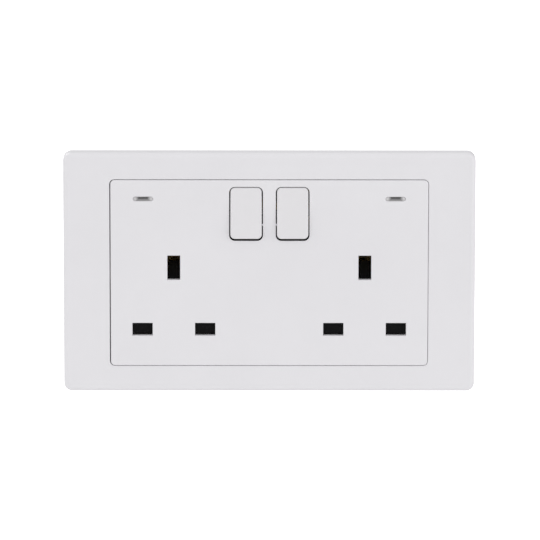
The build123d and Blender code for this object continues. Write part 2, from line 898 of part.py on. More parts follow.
def build_shutter(side):
    """A shutter: two leaves over the lower pin holes, a stem, and a ramp behind the earth hole."""
    centre = side * outlet_x
    ramp_back = shutter_front - shutter_travel
    notch_top = screw_lower_z + panel_boss_radius + shutter_gap + shutter_travel
    with BuildPart() as shutter:
        block(span(centre, 2 * leaf_side), (leaf_bottom, leaf_top), shutter_back, shutter_front)
        # A notch that lets the leaves pass the lower screw pillar
        block(
            span(centre, 2 * (panel_boss_radius + notch_gap)),
            (leaf_bottom, notch_top),
            shutter_back,
            shutter_front,
            Mode.SUBTRACT,
        )
        block(span(centre, shutter_stem), (notch_top, hole_base), shutter_back, shutter_front)
        block(
            span(centre, spring_pocket_width),
            (anchor_low - shutter_gap, shutter_foot),
            shutter_back,
            shutter_front,
            Mode.SUBTRACT,
        )
        # Two side rails join over the top of the earth hole
        rail = earth_hole_width / 2 + rail_gap
        block(
            span(centre, 2 * (rail + rail_width)),
            (shutter_foot, shutter_top),
            shutter_back,
            shutter_front,
        )
        block(
            span(centre, 2 * rail),
            (hole_base, shutter_top - rail_width),
            shutter_back,
            shutter_front,
            Mode.SUBTRACT,
        )
        side_plane = Plane(origin=(centre, 0, 0), x_dir=(0, 0, 1), z_dir=(1, 0, 0))
        with BuildSketch(side_plane):
            with BuildLine():
                Polyline(
                    (hole_base, shutter_front),
                    (hole_base + shutter_travel, ramp_back),
                    (shutter_foot, ramp_back),
                    (shutter_foot, shutter_front),
                    close=True,
                )
            make_face()
        extrude(amount=ramp_width / 2, both=True)
    return shutter


def build_lens(side):
    """A lamp window: a clear bar with round ends and a flange behind the panel."""
    with BuildPart() as lens:
        with BuildSketch(level(panel_back)):
            with Locations((side * lens_x, lens_z)):
                SlotOverall(lens_width - 2 * lens_gap, lens_tall - 2 * lens_gap)
        extrude(amount=panel_thick - lens_recess)
        fillet(lens.faces().sort_by(Axis.Y)[0].edges(), lens_edge)
        with BuildSketch(level(panel_back)):
            with Locations((side * lens_x, lens_z)):
                SlotOverall(lens_flange_width, lens_flange_tall)
        extrude(amount=-lens_flange_thick)
    return lens


def build_lamp(side):
    """A small round-topped lamp that stands on its board and shines into the window."""
    place = (side * lens_x, lens_z)
    with BuildPart() as lamp:
        pillar(place, lamp_radius, board_front, lamp_top)
        crown = lamp.edges().filter_by(GeomType.CIRCLE).sort_by(Axis.Y)[0]
        fillet(crown, lamp_radius - crown_flat)
        pillar(place, lamp_rim_radius, board_front, board_front + lamp_rim_thick)
    return lamp


def build_board(side):
    """The small board behind a lamp."""
    with BuildPart() as board:
        block(
            span(side * outer_pin_x, board_width),
            span(board_z, board_tall),
            board_back,
            board_front,
        )
    return board


def build_resistor(side):
    """The lamp's series resistor, lying along the back of its board on two bent leads."""
    centre = side * outer_pin_x
    height = board_back - resistor_radius
    left, right = span(centre, resistor_length + 2 * lead_reach)
    ends = [
        Vector(left, -board_back, lens_z),
        Vector(left, -height, lens_z),
        Vector(right, -height, lens_z),
        Vector(right, -board_back, lens_z),
    ]
    with BuildPart() as resistor:
        with BuildLine() as leads:
            FilletPolyline(*ends, radius=lead_bend)
        with BuildSketch(Plane(origin=leads.line @ 0, z_dir=leads.line % 0)):
            Circle(lead_radius)
        sweep(path=leads.line)
        across(span(centre, resistor_length), lens_z, height, resistor_radius)
    return resistor


def build_wire(points):
    """A round insulated wire along runs joined by tangent arcs."""
    path_points = [Vector(x, -height, z) for x, height, z in points]
    bends = []
    for before, corner, after in zip(path_points, path_points[1:], path_points[2:]):
        shorter = min((corner - before).length, (after - corner).length)
        turn = (corner - before).get_angle(after - corner)
        bends.append(0.45 * shorter / tan(radians(turn) / 2))
    with BuildPart() as wire:
        with BuildLine() as path:
            FilletPolyline(*path_points, radius=bends)
        with BuildSketch(Plane(origin=path.line @ 0, z_dir=path.line % 0)):
            Circle(wire_radius)
        sweep(path=path.line)
    return wire


def build_wires():
    """The four lamp wires: each leaves the back of a board and is lapped on a brass bar."""
    on_neutral = neutral_layer + wire_radius
    on_live = live_layer + wire_radius
    start_z = lens_z - wire_drop
    side_x = outer_pin_x + neutral_wire_side
    inner_x = outer_pin_x - live_wire_side
    return {
        "left_lamp_neutral_wire": [
            (-side_x, board_back, start_z),
            (-side_x, on_neutral, start_z),
            (-side_x, on_neutral, neutral_bar_z),
        ],
        "left_lamp_live_wire": [
            (-inner_x, board_back, start_z),
            (-inner_x, (board_back + on_live) / 2, start_z),
            (-inner_pin_x - strip_width / 2, on_live, start_z),
            (-inner_pin_x + strip_width / 2, on_live, start_z),
        ],
        "right_lamp_neutral_wire": [
            (side_x, board_back, start_z),
            (side_x, on_neutral, start_z),
            (side_x, on_neutral, neutral_bar_z + bar_width),
            (inner_pin_x + 2 * jaw_width, on_neutral, neutral_bar_z),
            (inner_pin_x - jaw_width / 2, on_neutral, neutral_bar_z),
        ],
        "right_lamp_live_wire": [
            (inner_x, board_back, start_z),
            (inner_x, (board_back + on_live) / 2, start_z),
            (inner_x, on_live, start_z - strip_width),
            (inner_x, on_live, start_z - 2 * strip_width),
        ],
    }


save(build_frame(), "surround_frame")
save(build_panel(), "socket_panel")
save(build_cover(), "contact_cover")
save(build_housing(), "rear_housing")
save(build_neutral(), "neutral_contact")
save(build_busbar(), "live_busbar")
save(build_earth(), "earth_strap")
save(build_terminal(-terminal_spacing, neutral_back), "neutral_terminal")
save(build_terminal(0, busbar_back), "earth_terminal")
save(build_terminal(terminal_spacing, busbar_back), "live_terminal")
save(build_terminal_screws(), "terminal_screws")
save(build_assembly_screws(), "assembly_screws")

for name, side in (("left", -1), ("right", 1)):
    save(build_rocker(side), f"{name}_rocker")
    save(build_marker(side), f"{name}_on_mark")
    save(build_plunger(side), f"{name}_plunger")
    save(build_moving_contact(side), f"{name}_moving_contact")
    save(build_live(side), f"{name}_live_contact")
    save(build_shutter(side), f"{name}_shutter")
    save(build_lens(side), f"{name}_lamp_window")
    save(build_lamp(side), f"{name}_lamp")
    save(build_board(side), f"{name}_lamp_board")
    save(build_resistor(side), f"{name}_lamp_resistor")
    shutter_spring_base = Plane(
        origin=(side * outlet_x, -(shutter_front + shutter_back) / 2, anchor_high),
        z_dir=(0, 0, 1),
    )
    shutter_spring = build_coil(
        shutter_spring_base,
        shutter_spring_radius,
        shutter_spring_wire,
        shutter_spring_length,
        shutter_spring_turns,
    )
    save(shutter_spring, f"{name}_shutter_spring")
    plunger_spring_base = tilted(side * rocker_x, rocker_z, rocker_pivot, rocker_tilt)
    plunger_spring = build_coil(
        plunger_spring_base.offset(-plunger_top),
        plunger_spring_radius,
        plunger_spring_wire,
        plunger_top + plunger_seat,
        plunger_spring_turns,
    )
    save(plunger_spring, f"{name}_plunger_spring")

for name, points in build_wires().items():
    save(build_wire(points), name)
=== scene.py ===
import json
from math import cos, pi, radians, sin

import bmesh
import bpy
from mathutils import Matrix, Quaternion, Vector


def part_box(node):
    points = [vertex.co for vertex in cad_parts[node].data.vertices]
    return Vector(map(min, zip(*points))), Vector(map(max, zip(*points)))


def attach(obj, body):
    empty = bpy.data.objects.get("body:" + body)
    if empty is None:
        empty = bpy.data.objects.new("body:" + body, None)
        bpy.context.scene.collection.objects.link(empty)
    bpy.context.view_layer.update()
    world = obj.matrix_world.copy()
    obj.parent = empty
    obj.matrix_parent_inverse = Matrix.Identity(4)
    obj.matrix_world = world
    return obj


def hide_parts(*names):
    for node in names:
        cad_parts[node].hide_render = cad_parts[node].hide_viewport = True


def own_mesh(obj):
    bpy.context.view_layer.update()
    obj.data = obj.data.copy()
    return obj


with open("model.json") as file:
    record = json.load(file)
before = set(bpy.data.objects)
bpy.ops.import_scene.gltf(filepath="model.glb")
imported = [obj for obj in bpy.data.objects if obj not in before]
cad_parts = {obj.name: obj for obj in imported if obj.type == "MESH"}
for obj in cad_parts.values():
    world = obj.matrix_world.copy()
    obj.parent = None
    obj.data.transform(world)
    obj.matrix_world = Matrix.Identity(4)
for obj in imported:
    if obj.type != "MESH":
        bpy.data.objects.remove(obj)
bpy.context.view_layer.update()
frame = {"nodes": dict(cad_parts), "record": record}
nodes = frame["nodes"]

# The outlet's own lengths are in mm until they go into Blender, and this is one mm in metres
MM = 0.001
SIDES = ("left", "right")


def corners_of(node):
    """A CAD node's lowest and highest corners at rest, in mm."""
    low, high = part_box(node)
    return Vector(low) / MM, Vector(high) / MM


def centre_of(node):
    """The middle of a CAD node's box at rest, in mm."""
    low, high = corners_of(node)
    return (low + high) / 2


panel_front = corners_of("socket_panel")[0].y


# Camera, as the photograph was taken: two metres off, square on, from a little above

elevation = radians(10.9)
azimuth = radians(-0.17)
distance = 2.0
roll = radians(0.065)
aim = Vector((0.25, panel_front, 1.13)) * MM
back = Vector((sin(azimuth) * cos(elevation), -cos(azimuth) * cos(elevation), sin(elevation)))
camera = bpy.data.objects.new("camera", bpy.data.cameras.new("camera"))
bpy.context.scene.collection.objects.link(camera)
camera.data.sensor_width = 36.0
camera.data.lens = 376.4
camera.data.clip_start = 0.05
camera.data.clip_end = 50.0
camera.location = aim + back * distance
camera.rotation_mode = "QUATERNION"
camera.rotation_quaternion = Quaternion(back, roll) @ (-back).to_track_quat("-Z", "Y")
bpy.context.scene.camera = camera
bpy.context.scene.view_settings.view_transform = "Standard"


# Shader node groups that more than one material uses

def new_group(name, inputs, outputs):
    """An empty shader node group with its sockets, and its two end nodes."""
    group = bpy.data.node_groups.new(name, "ShaderNodeTree")
    for label, kind, value in inputs:
        socket = group.interface.new_socket(label, in_out="INPUT", socket_type=kind)
        socket.default_value = value
    for label, kind in outputs:
        group.interface.new_socket(label, in_out="OUTPUT", socket_type=kind)
    return group, group.nodes.new("NodeGroupInput"), group.nodes.new("NodeGroupOutput")


def add(tree, kind, links=(), **settings):
    """A new node with its settings, and the sockets that feed its inputs or their values."""
    node = tree.nodes.new(kind)
    for name, value in settings.items():
        setattr(node, name, value)
    for key, value in dict(links).items():
        if isinstance(value, bpy.types.NodeSocket):
            tree.links.new(value, node.inputs[key])
        else:
            node.inputs[key].default_value = value
    return node


def moulded_skin():
    """Moulded plastic: a fine grain from the tool and faint flow marks, in its colour and its shine."""
    group, start, end = new_group(
        "moulded_skin",
        (("Colour", "NodeSocketColor", (0.8, 0.8, 0.8, 1)),
         ("Deep colour", "NodeSocketColor", (0.7, 0.7, 0.7, 1)),
         ("Grain per metre", "NodeSocketFloat", 3000.0),
         ("Smoothness", "NodeSocketFloat", 0.3),
         ("Spread", "NodeSocketFloat", 0.06)),
        (("Colour", "NodeSocketColor"), ("Roughness", "NodeSocketFloat"), ("Height", "NodeSocketFloat")))
    place = add(group, "ShaderNodeTexCoord").outputs["Object"]
    flow = add(group, "ShaderNodeTexNoise", {
        "Vector": place, "Scale": 42.0, "Detail": 3.0, "Roughness": 0.5})
    grain = add(group, "ShaderNodeTexNoise", {
        "Vector": place, "Scale": start.outputs["Grain per metre"], "Detail": 2.0, "Roughness": 0.6})
    marks = add(group, "ShaderNodeMapRange", {
        "Value": flow.outputs["Fac"], "From Min": 0.35, "From Max": 0.7})
    tint = add(group, "ShaderNodeMix", {
        "Factor": marks.outputs[0], "A": start.outputs["Colour"], "B": start.outputs["Deep colour"]},
        data_type="RGBA")
    both = add(group, "ShaderNodeMath", {
        0: flow.outputs["Fac"], 1: grain.outputs["Fac"]}, operation="ADD")
    centred = add(group, "ShaderNodeMath", {0: both.outputs[0], 1: 1.0}, operation="SUBTRACT")
    rough = add(group, "ShaderNodeMath", {
        0: centred.outputs[0], 1: start.outputs["Spread"], 2: start.outputs["Smoothness"]},
        operation="MULTIPLY_ADD")
    group.links.new(tint.outputs["Result"], end.inputs["Colour"])
    group.links.new(rough.outputs[0], end.inputs["Roughness"])
    group.links.new(grain.outputs["Fac"], end.inputs["Height"])
    return group


def worked_metal():
    """Rolled or turned metal: fine lines along one direction, with dull patches where it was handled."""
    group, start, end = new_group(
        "worked_metal",
        (("Colour", "NodeSocketColor", (0.8, 0.8, 0.8, 1)),
         ("Dull colour", "NodeSocketColor", (0.5, 0.5, 0.5, 1)),
         ("Lines", "NodeSocketVector", (200.0, 4000.0, 4000.0)),
         ("Smoothness", "NodeSocketFloat", 0.25),
         ("Spread", "NodeSocketFloat", 0.25)),
        (("Colour", "NodeSocketColor"), ("Roughness", "NodeSocketFloat"), ("Height", "NodeSocketFloat")))
    place = add(group, "ShaderNodeTexCoord").outputs["Object"]
    stretched = add(group, "ShaderNodeVectorMath", {
        0: place, 1: start.outputs["Lines"]}, operation="MULTIPLY")
    lines = add(group, "ShaderNodeTexNoise", {
        "Vector": stretched.outputs[0], "Scale": 1.0, "Detail": 3.0, "Roughness": 0.6})
    patches = add(group, "ShaderNodeTexNoise", {
        "Vector": place, "Scale": 130.0, "Detail": 4.0, "Roughness": 0.6})
    dull = add(group, "ShaderNodeMapRange", {
        "Value": patches.outputs["Fac"], "From Min": 0.45, "From Max": 0.72})
    tint = add(group, "ShaderNodeMix", {
        "Factor": dull.outputs[0], "A": start.outputs["Colour"], "B": start.outputs["Dull colour"]},
        data_type="RGBA")
    sum_up = add(group, "ShaderNodeMath", {
        0: lines.outputs["Fac"], 1: 0.5, 2: dull.outputs[0]}, operation="MULTIPLY_ADD")
    rough = add(group, "ShaderNodeMath", {
        0: sum_up.outputs[0], 1: start.outputs["Spread"], 2: start.outputs["Smoothness"]},
        operation="MULTIPLY_ADD")
    group.links.new(tint.outputs["Result"], end.inputs["Colour"])
    group.links.new(rough.outputs[0], end.inputs["Roughness"])
    group.links.new(lines.outputs["Fac"], end.inputs["Height"])
    return group


def boxed_tone():
    """A tone that takes over inside a box, mirrored in X, such as painted shade on the walls down in a
    narrow gap or a resistor's colour band.
    """
    group, start, end = new_group(
        "boxed_tone",
        (("Colour", "NodeSocketColor", (0.8, 0.8, 0.8, 1)),
         ("Tone", "NodeSocketColor", (0.05, 0.05, 0.05, 1)),
         ("Middle", "NodeSocketVector", (0.0, 0.0, 0.0)),
         ("Half size", "NodeSocketVector", (0.01, 0.01, 0.01)),
         ("Turn", "NodeSocketFloat", 0.0),
         ("Soft edge", "NodeSocketFloat", 0.0005)),
        (("Colour", "NodeSocketColor"),))
    place = add(group, "ShaderNodeTexCoord").outputs["Object"]
    parts = add(group, "ShaderNodeSeparateXYZ", {"Vector": place})
    across = add(group, "ShaderNodeMath", {0: parts.outputs["X"]}, operation="ABSOLUTE")
    mirrored = add(group, "ShaderNodeCombineXYZ", {
        "X": across.outputs[0], "Y": parts.outputs["Y"], "Z": parts.outputs["Z"]})
    tipped = add(group, "ShaderNodeVectorRotate", {
        "Vector": mirrored.outputs[0], "Center": start.outputs["Middle"], "Angle": start.outputs["Turn"]},
        rotation_type="X_AXIS")
    offset = add(group, "ShaderNodeVectorMath", {
        0: tipped.outputs[0], 1: start.outputs["Middle"]}, operation="SUBTRACT")
    reach = add(group, "ShaderNodeVectorMath", {0: offset.outputs[0]}, operation="ABSOLUTE")
    room = add(group, "ShaderNodeVectorMath", {
        0: start.outputs["Half size"], 1: reach.outputs[0]}, operation="SUBTRACT")
    inside = add(group, "ShaderNodeSeparateXYZ", {"Vector": room.outputs[0]})
    flat_least = add(group, "ShaderNodeMath", {
        0: inside.outputs["X"], 1: inside.outputs["Y"]}, operation="MINIMUM")
    least = add(group, "ShaderNodeMath", {
        0: flat_least.outputs[0], 1: inside.outputs["Z"]}, operation="MINIMUM")
    mask = add(group, "ShaderNodeMath", {
        0: least.outputs[0], 1: start.outputs["Soft edge"]}, operation="DIVIDE", use_clamp=True)
    mixed = add(group, "ShaderNodeMix", {
        "Factor": mask.outputs[0], "A": start.outputs["Colour"], "B": start.outputs["Tone"]},
        data_type="RGBA")
    group.links.new(mixed.outputs["Result"], end.inputs["Colour"])
    return group


skin = moulded_skin()
metal = worked_metal()
box_tone = boxed_tone()


# Materials

def finish(name, group, values, relief, **sockets):
    """A Principled material with one effect group; relief is the bump's depth in metres."""
    made = bpy.data.materials.new(name)
    made.use_nodes = True
    tree = made.node_tree
    shader = tree.nodes["Principled BSDF"]
    for label, value in sockets.items():
        shader.inputs[label.replace("_", " ")].default_value = value
    effect = add(tree, "ShaderNodeGroup", node_tree=group)
    for label, value in values.items():
        effect.inputs[label].default_value = value
    tree.links.new(effect.outputs["Colour"], shader.inputs["Base Color"])
    tree.links.new(effect.outputs["Roughness"], shader.inputs["Roughness"])
    bump = add(tree, "ShaderNodeBump", {"Height": effect.outputs["Height"], "Distance": relief})
    tree.links.new(bump.outputs["Normal"], shader.inputs["Normal"])
    return made


def plastic(name, colour, deep, grain, smooth, spread, relief, **sockets):
    """A moulded plastic of one colour with a slightly deeper tone."""
    return finish(name, skin, {
        "Colour": (*colour, 1), "Deep colour": (*deep, 1), "Grain per metre": grain,
        "Smoothness": smooth, "Spread": spread}, relief, **sockets)


def bare_metal(name, colour, dull, lines, smooth, spread, relief, **sockets):
    """A metal with working lines, stretched by three densities per metre."""
    return finish(name, metal, {
        "Colour": (*colour, 1), "Dull colour": (*dull, 1), "Lines": lines,
        "Smoothness": smooth, "Spread": spread}, relief, Metallic=1.0, **sockets)


def tone_in_box(made, colour, middle, half_size, soft, turn=0.0):
    """Puts a tone inside a box about a middle, all in mm, between a material's colour and its shader."""
    tree = made.node_tree
    base = tree.nodes["Principled BSDF"].inputs["Base Color"]
    boxed = add(tree, "ShaderNodeGroup", node_tree=box_tone)
    tree.links.new(base.links[0].from_socket, boxed.inputs["Colour"])
    boxed.inputs["Tone"].default_value = (*colour, 1)
    boxed.inputs["Middle"].default_value = Vector(middle) * MM
    boxed.inputs["Half size"].default_value = Vector(half_size) * MM
    boxed.inputs["Turn"].default_value = turn
    boxed.inputs["Soft edge"].default_value = soft * MM
    tree.links.new(boxed.outputs["Colour"], base)


satin_white = {
    "colour": (0.80, 0.79, 0.815), "deep": (0.785, 0.775, 0.80),
    "grain": 2600, "smooth": 0.32, "spread": 0.05, "relief": 4e-6}
materials = {
    "frame_plastic": plastic("frame_satin_white", **satin_white),
    "panel_plastic": plastic("panel_satin_white", **satin_white),
    "rocker_plastic": plastic(
        "rocker_gloss_white", colour=(0.775, 0.763, 0.782), deep=(0.765, 0.753, 0.772),
        grain=1800, smooth=0.22, spread=0.04, relief=2e-6),
    "housing_plastic": plastic(
        "housing_matt_white", colour=(0.72, 0.71, 0.68), deep=(0.68, 0.67, 0.63),
        grain=3400, smooth=0.55, spread=0.12, relief=2e-5),
    "cover_plastic": plastic(
        "cover_matt_black", colour=(0.040, 0.036, 0.030), deep=(0.030, 0.027, 0.023),
        grain=3400, smooth=0.6, spread=0.12, relief=2e-5, Specular_IOR_Level=0.3),
    "shutter_plastic": plastic(
        "shutter_black", colour=(0.006, 0.006, 0.0065), deep=(0.004, 0.004, 0.0045),
        grain=3000, smooth=0.5, spread=0.1, relief=1e-5, Specular_IOR_Level=0.1),
    "plunger_plastic": plastic(
        "plunger_nylon", colour=(0.66, 0.63, 0.50), deep=(0.60, 0.56, 0.42),
        grain=1500, smooth=0.35, spread=0.08, relief=6e-6),
    "mark_plastic": plastic(
        "on_mark_red", colour=(0.52, 0.012, 0.010), deep=(0.42, 0.008, 0.008),
        grain=2200, smooth=0.34, spread=0.08, relief=6e-6),
    "brass": bare_metal(
        "contact_brass", colour=(0.80, 0.56, 0.24), dull=(0.56, 0.36, 0.14),
        lines=(150.0, 5200.0, 5200.0), smooth=0.2, spread=0.2, relief=3e-6),
    "terminal_brass": bare_metal(
        "terminal_brass", colour=(0.82, 0.60, 0.28), dull=(0.60, 0.42, 0.18),
        lines=(4200.0, 4200.0, 500.0), smooth=0.22, spread=0.2, relief=4e-6),
    "plated_steel": bare_metal(
        "zinc_plated_steel", colour=(0.70, 0.71, 0.72), dull=(0.50, 0.51, 0.53),
        lines=(2600.0, 2600.0, 2600.0), smooth=0.26, spread=0.2, relief=3e-6),
    "spring_steel": bare_metal(
        "spring_wire", colour=(0.62, 0.62, 0.63), dull=(0.40, 0.40, 0.42),
        lines=(900.0, 4200.0, 900.0), smooth=0.22, spread=0.2, relief=2e-6),
    "window_plastic": plastic(
        "lamp_window_opal", colour=(0.72, 0.71, 0.72), deep=(0.67, 0.66, 0.67),
        grain=2400, smooth=0.14, spread=0.05, relief=4e-6, Transmission_Weight=0.12, IOR=1.49),
    "lamp_glass": plastic(
        "lamp_glass_red", colour=(0.90, 0.32, 0.22), deep=(0.82, 0.24, 0.16),
        grain=900, smooth=0.05, spread=0.03, relief=2e-6, Transmission_Weight=0.9, IOR=1.47),
    "board": plastic(
        "paper_board", colour=(0.30, 0.19, 0.075), deep=(0.24, 0.145, 0.05),
        grain=5200, smooth=0.55, spread=0.15, relief=2e-5),
    "resistor": plastic(
        "resistor_lacquer", colour=(0.62, 0.50, 0.32), deep=(0.55, 0.43, 0.26),
        grain=1800, smooth=0.3, spread=0.08, relief=1e-5),
    "neutral_wire": plastic(
        "blue_sleeving", colour=(0.012, 0.075, 0.36), deep=(0.010, 0.060, 0.30),
        grain=2200, smooth=0.4, spread=0.1, relief=8e-6),
    "live_wire": plastic(
        "brown_sleeving", colour=(0.16, 0.055, 0.020), deep=(0.13, 0.042, 0.015),
        grain=2200, smooth=0.4, spread=0.1, relief=8e-6),
}


# Local tones: painted shade round the rockers and in the lamp windows, paler painted light on the shutters
# at the earth holes

# Painted shade: the colour of the walls down in the narrow gaps round the rockers
gap_painted_shade = (0.032, 0.032, 0.032)
window_painted_shade = (0.104, 0.101, 0.104)
earth_hole_painted_light = (0.030, 0.026, 0.020)
off_tilt = radians(7)

# The painted shade in the windows is darkest a little above their middle, and the painted light on the
# shutters palest a little below their top
window_shade_lift = 0.45
shutter_drop = 2.5


def paint_gap_shade(slot, half_width, near, far, turn=0.0):
    """Paints shade on the walls round both rockers between two distances behind the panel's front, in mm."""
    half_height = 10.2
    middle = centre_of("right_rocker")
    middle.y = panel_front + (near + far) / 2
    half_size = (half_width, (far - near) / 2, half_height)
    tone_in_box(materials[slot], gap_painted_shade, middle, half_size, soft=0.3, turn=turn)


# Painted shade on the panel's window walls and on the rockers' sides, down in the gaps
paint_gap_shade("panel_plastic", half_width=6.4, near=0.4, far=4.4)
paint_gap_shade("rocker_plastic", half_width=7.0, near=1.0, far=4.0, turn=off_tilt)
# Painted shade in the middle of the lamp windows, where the dark lamp pocket stands behind them
window_shade_middle = centre_of("right_lamp_window") + Vector((0, 0, window_shade_lift))
tone_in_box(materials["window_plastic"], window_painted_shade, window_shade_middle, half_size=(2.75, 5.0, 1.6), soft=1.25)
# Painted light: a paler, browner colour on the black shutters where they stand behind the earth holes
shutter_low, shutter_high = corners_of("right_shutter")
earth_middle = (centre_of("right_shutter").x, shutter_low.y, shutter_high.z - shutter_drop)
tone_in_box(materials["shutter_plastic"], earth_hole_painted_light, earth_middle, half_size=(6.0, 9.0, 6.5), soft=6.0)


# The resistors' colour bands, by their distance along the body in mm

band_colours = {
    -1.4: (0.10, 0.035, 0.012),
    -0.7: (0.015, 0.015, 0.015),
    0.0: (0.75, 0.50, 0.03),
    1.35: (0.50, 0.32, 0.09)}
for along, colour in band_colours.items():
    band_middle = centre_of("right_lamp_resistor") + Vector((along, 0, 0))
    tone_in_box(materials["resistor"], colour, band_middle, half_size=(0.2, 5.0, 5.0), soft=0.03)


# Every solid wears the finish that the record gives it

for entry in frame["record"]["subparts"]:
    node = nodes[entry["node"]]
    node.data.materials.clear()
    node.data.materials.append(materials[entry["material_slot"]])


# Screws, lamps and resistors in their full detail, and the springs as copies that ride on their bodies

# A new piece keeps this far inside the solid that it stands for, in mm
inset = 0.02

# Two faces of a new piece that meet more sharply than this have a crisp edge between them
crisp_angle = radians(34)


def arc(middle, radius, start, stop, steps=4):
    """Outline points on an arc about a middle, between two angles in degrees from straight outwards."""
    turns = [radians(start + (stop - start) * step / steps) for step in range(steps + 1)]
    return [(middle[0] + radius * cos(turn), middle[1] + radius * sin(turn)) for turn in turns]


def thread(root, crest, start, stop, ridges):
    """The outline of a thread's ridges from one height to another, with the root at both ends."""
    pitch = (stop - start) / ridges
    points = [(root, start)]
    for ridge in range(ridges):
        foot = start + ridge * pitch
        points += [(crest, foot + 0.4 * pitch), (crest, foot + 0.6 * pitch), (root, foot + pitch)]
    return points


def turned(shape, outline, place, along=(0, 1, 0), steps=32):
    """Adds a turned solid to a shape: an outline of radius and distance in mm, spun about a line."""
    line = Vector(along)
    out = Vector((0, 0, 1)) if line.x else Vector((1, 0, 0))
    corners = [shape.verts.new((Vector(place) + line * height + out * radius) * MM)
               for radius, height in outline]
    edges = [shape.edges.new(pair) for pair in zip(corners, corners[1:])]
    bmesh.ops.spin(
        shape, geom=corners + edges, cent=Vector(place) * MM, axis=line, angle=2 * pi, steps=steps,
        use_merge=True)


def brick(shape, low, high):
    """Adds a block between two corners in mm to a shape, and gives back its corner points."""
    middle = (Vector(low) + Vector(high)) / 2 * MM
    size = (Vector(high) - Vector(low)) * MM
    made = bmesh.ops.create_cube(shape, size=1.0)
    bmesh.ops.scale(shape, verts=made["verts"], vec=size)
    bmesh.ops.translate(shape, verts=made["verts"], vec=middle)
    return made["verts"]


def mesh_from(name, shape):
    """A mesh of a shape, with merged points and with faces that point outwards."""
    bmesh.ops.remove_doubles(shape, verts=shape.verts, dist=1e-7)
    bmesh.ops.recalc_face_normals(shape, faces=shape.faces)
    mesh = bpy.data.meshes.new(name)
    shape.to_mesh(mesh)
    shape.free()
    return mesh


def make_piece(name, shape, slot, replaced=(), cutter=None, body="housing"):
    """A piece on a body with a record finish; a cutter's shape is taken out of it for good."""
    piece = bpy.data.objects.new(name, mesh_from(name, shape))
    bpy.context.scene.collection.objects.link(piece)
    if cutter:
        tool = bpy.data.objects.new("cutter", mesh_from("cutter", cutter))
        bpy.context.scene.collection.objects.link(tool)
        step = piece.modifiers.new("slot", "BOOLEAN")
        step.object = tool
        step.solver = "EXACT"
        step.use_self = True
        cut = bpy.data.meshes.new_from_object(piece.evaluated_get(bpy.context.evaluated_depsgraph_get()))
        piece.modifiers.clear()
        piece.data = cut
        bpy.data.objects.remove(tool)
    for face in piece.data.polygons:
        face.use_smooth = True
    piece.data.set_sharp_from_angle(angle=crisp_angle)
    piece.data.materials.clear()
    piece.data.materials.append(materials[slot])
    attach(piece, body)
    if replaced:
        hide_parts(*replaced)
    return piece


def terminal_screws():
    """Three cable screws: a round head with a driver slot, a thread and a flat point on each."""
    low, high = corners_of("terminal_screws")
    point, top = low.y, high.y - inset
    head = (high.z - low.z) / 2
    rim = head - inset
    root, crest, edge, bevel, tip_bevel = 1.4, 1.73, 0.28, 0.15, 0.25
    seat, thread_start, thread_end = top - 1.58, point + 0.4, point + 2.9
    outline = [(0, point), (root - tip_bevel, point), (root, point + tip_bevel)]
    outline += thread(root, crest, thread_start, thread_end, ridges=5)
    outline += [(root, seat), (rim - bevel, seat), (rim, seat + bevel)]
    outline += arc((rim - edge, top - edge), edge, 0, 90) + [(0, top)]
    slot_width, slot_depth = 0.8, 0.78
    screws = bmesh.new()
    slots = bmesh.new()
    for x in (low.x + head, (low.x + high.x) / 2, high.x - head):
        turned(screws, outline, (x, 0, (low.z + high.z) / 2))
        brick(slots, (x - slot_width / 2, top - slot_depth, low.z - 1),
              (x + slot_width / 2, top + 1, high.z + 1))
    make_piece("terminal_screws_turned", screws, "plated_steel", ["terminal_screws"], cutter=slots)


def assembly_screws():
    """Four pan-headed screws for plastic: a domed head with a cross recess and a coarse thread."""
    low, high = corners_of("assembly_screws")
    point, top = low.y + inset, high.y - inset
    rim, dome, bevel, tip, tip_height = 2.68, 1.1, 0.15, 0.4, 0.1
    root, crest, neck, shoulder = 1.05, 1.43, 1.3, 0.8
    seat, thread_start, thread_end = top - 1.78, point + 0.98, point + 12.18
    outline = [(0, point), (tip, point + tip_height)]
    outline += thread(root, crest, thread_start, thread_end, ridges=11)
    outline += [(neck, thread_end + shoulder), (neck, seat), (rim - bevel, seat), (rim, seat + bevel)]
    outline += arc((rim - dome, top - dome), dome, 0, 90, steps=6) + [(0, top)]
    recess_reach, recess_half, recess_depth, recess_taper = 1.5, 0.35, 0.98, 0.62
    upper, lower = (35.0, 17.5), (33.85, -27.2)
    screws = bmesh.new()
    recesses = bmesh.new()
    for x, z in [(way * across, height) for across, height in (upper, lower) for way in (-1, 1)]:
        turned(screws, outline, (x, 0, z), steps=28)
        for wide, tall in ((recess_reach, recess_half), (recess_half, recess_reach)):
            arm = brick(recesses, (x - wide, top - recess_depth, z - tall), (x + wide, top + 0.6, z + tall))
            for corner in arm:
                if corner.co.y < top * MM:
                    corner.co.x = x * MM + (corner.co.x - x * MM) * recess_taper
                    corner.co.z = z * MM + (corner.co.z - z * MM) * recess_taper
    make_piece("assembly_screws_turned", screws, "plated_steel", ["assembly_screws"], cutter=recesses)


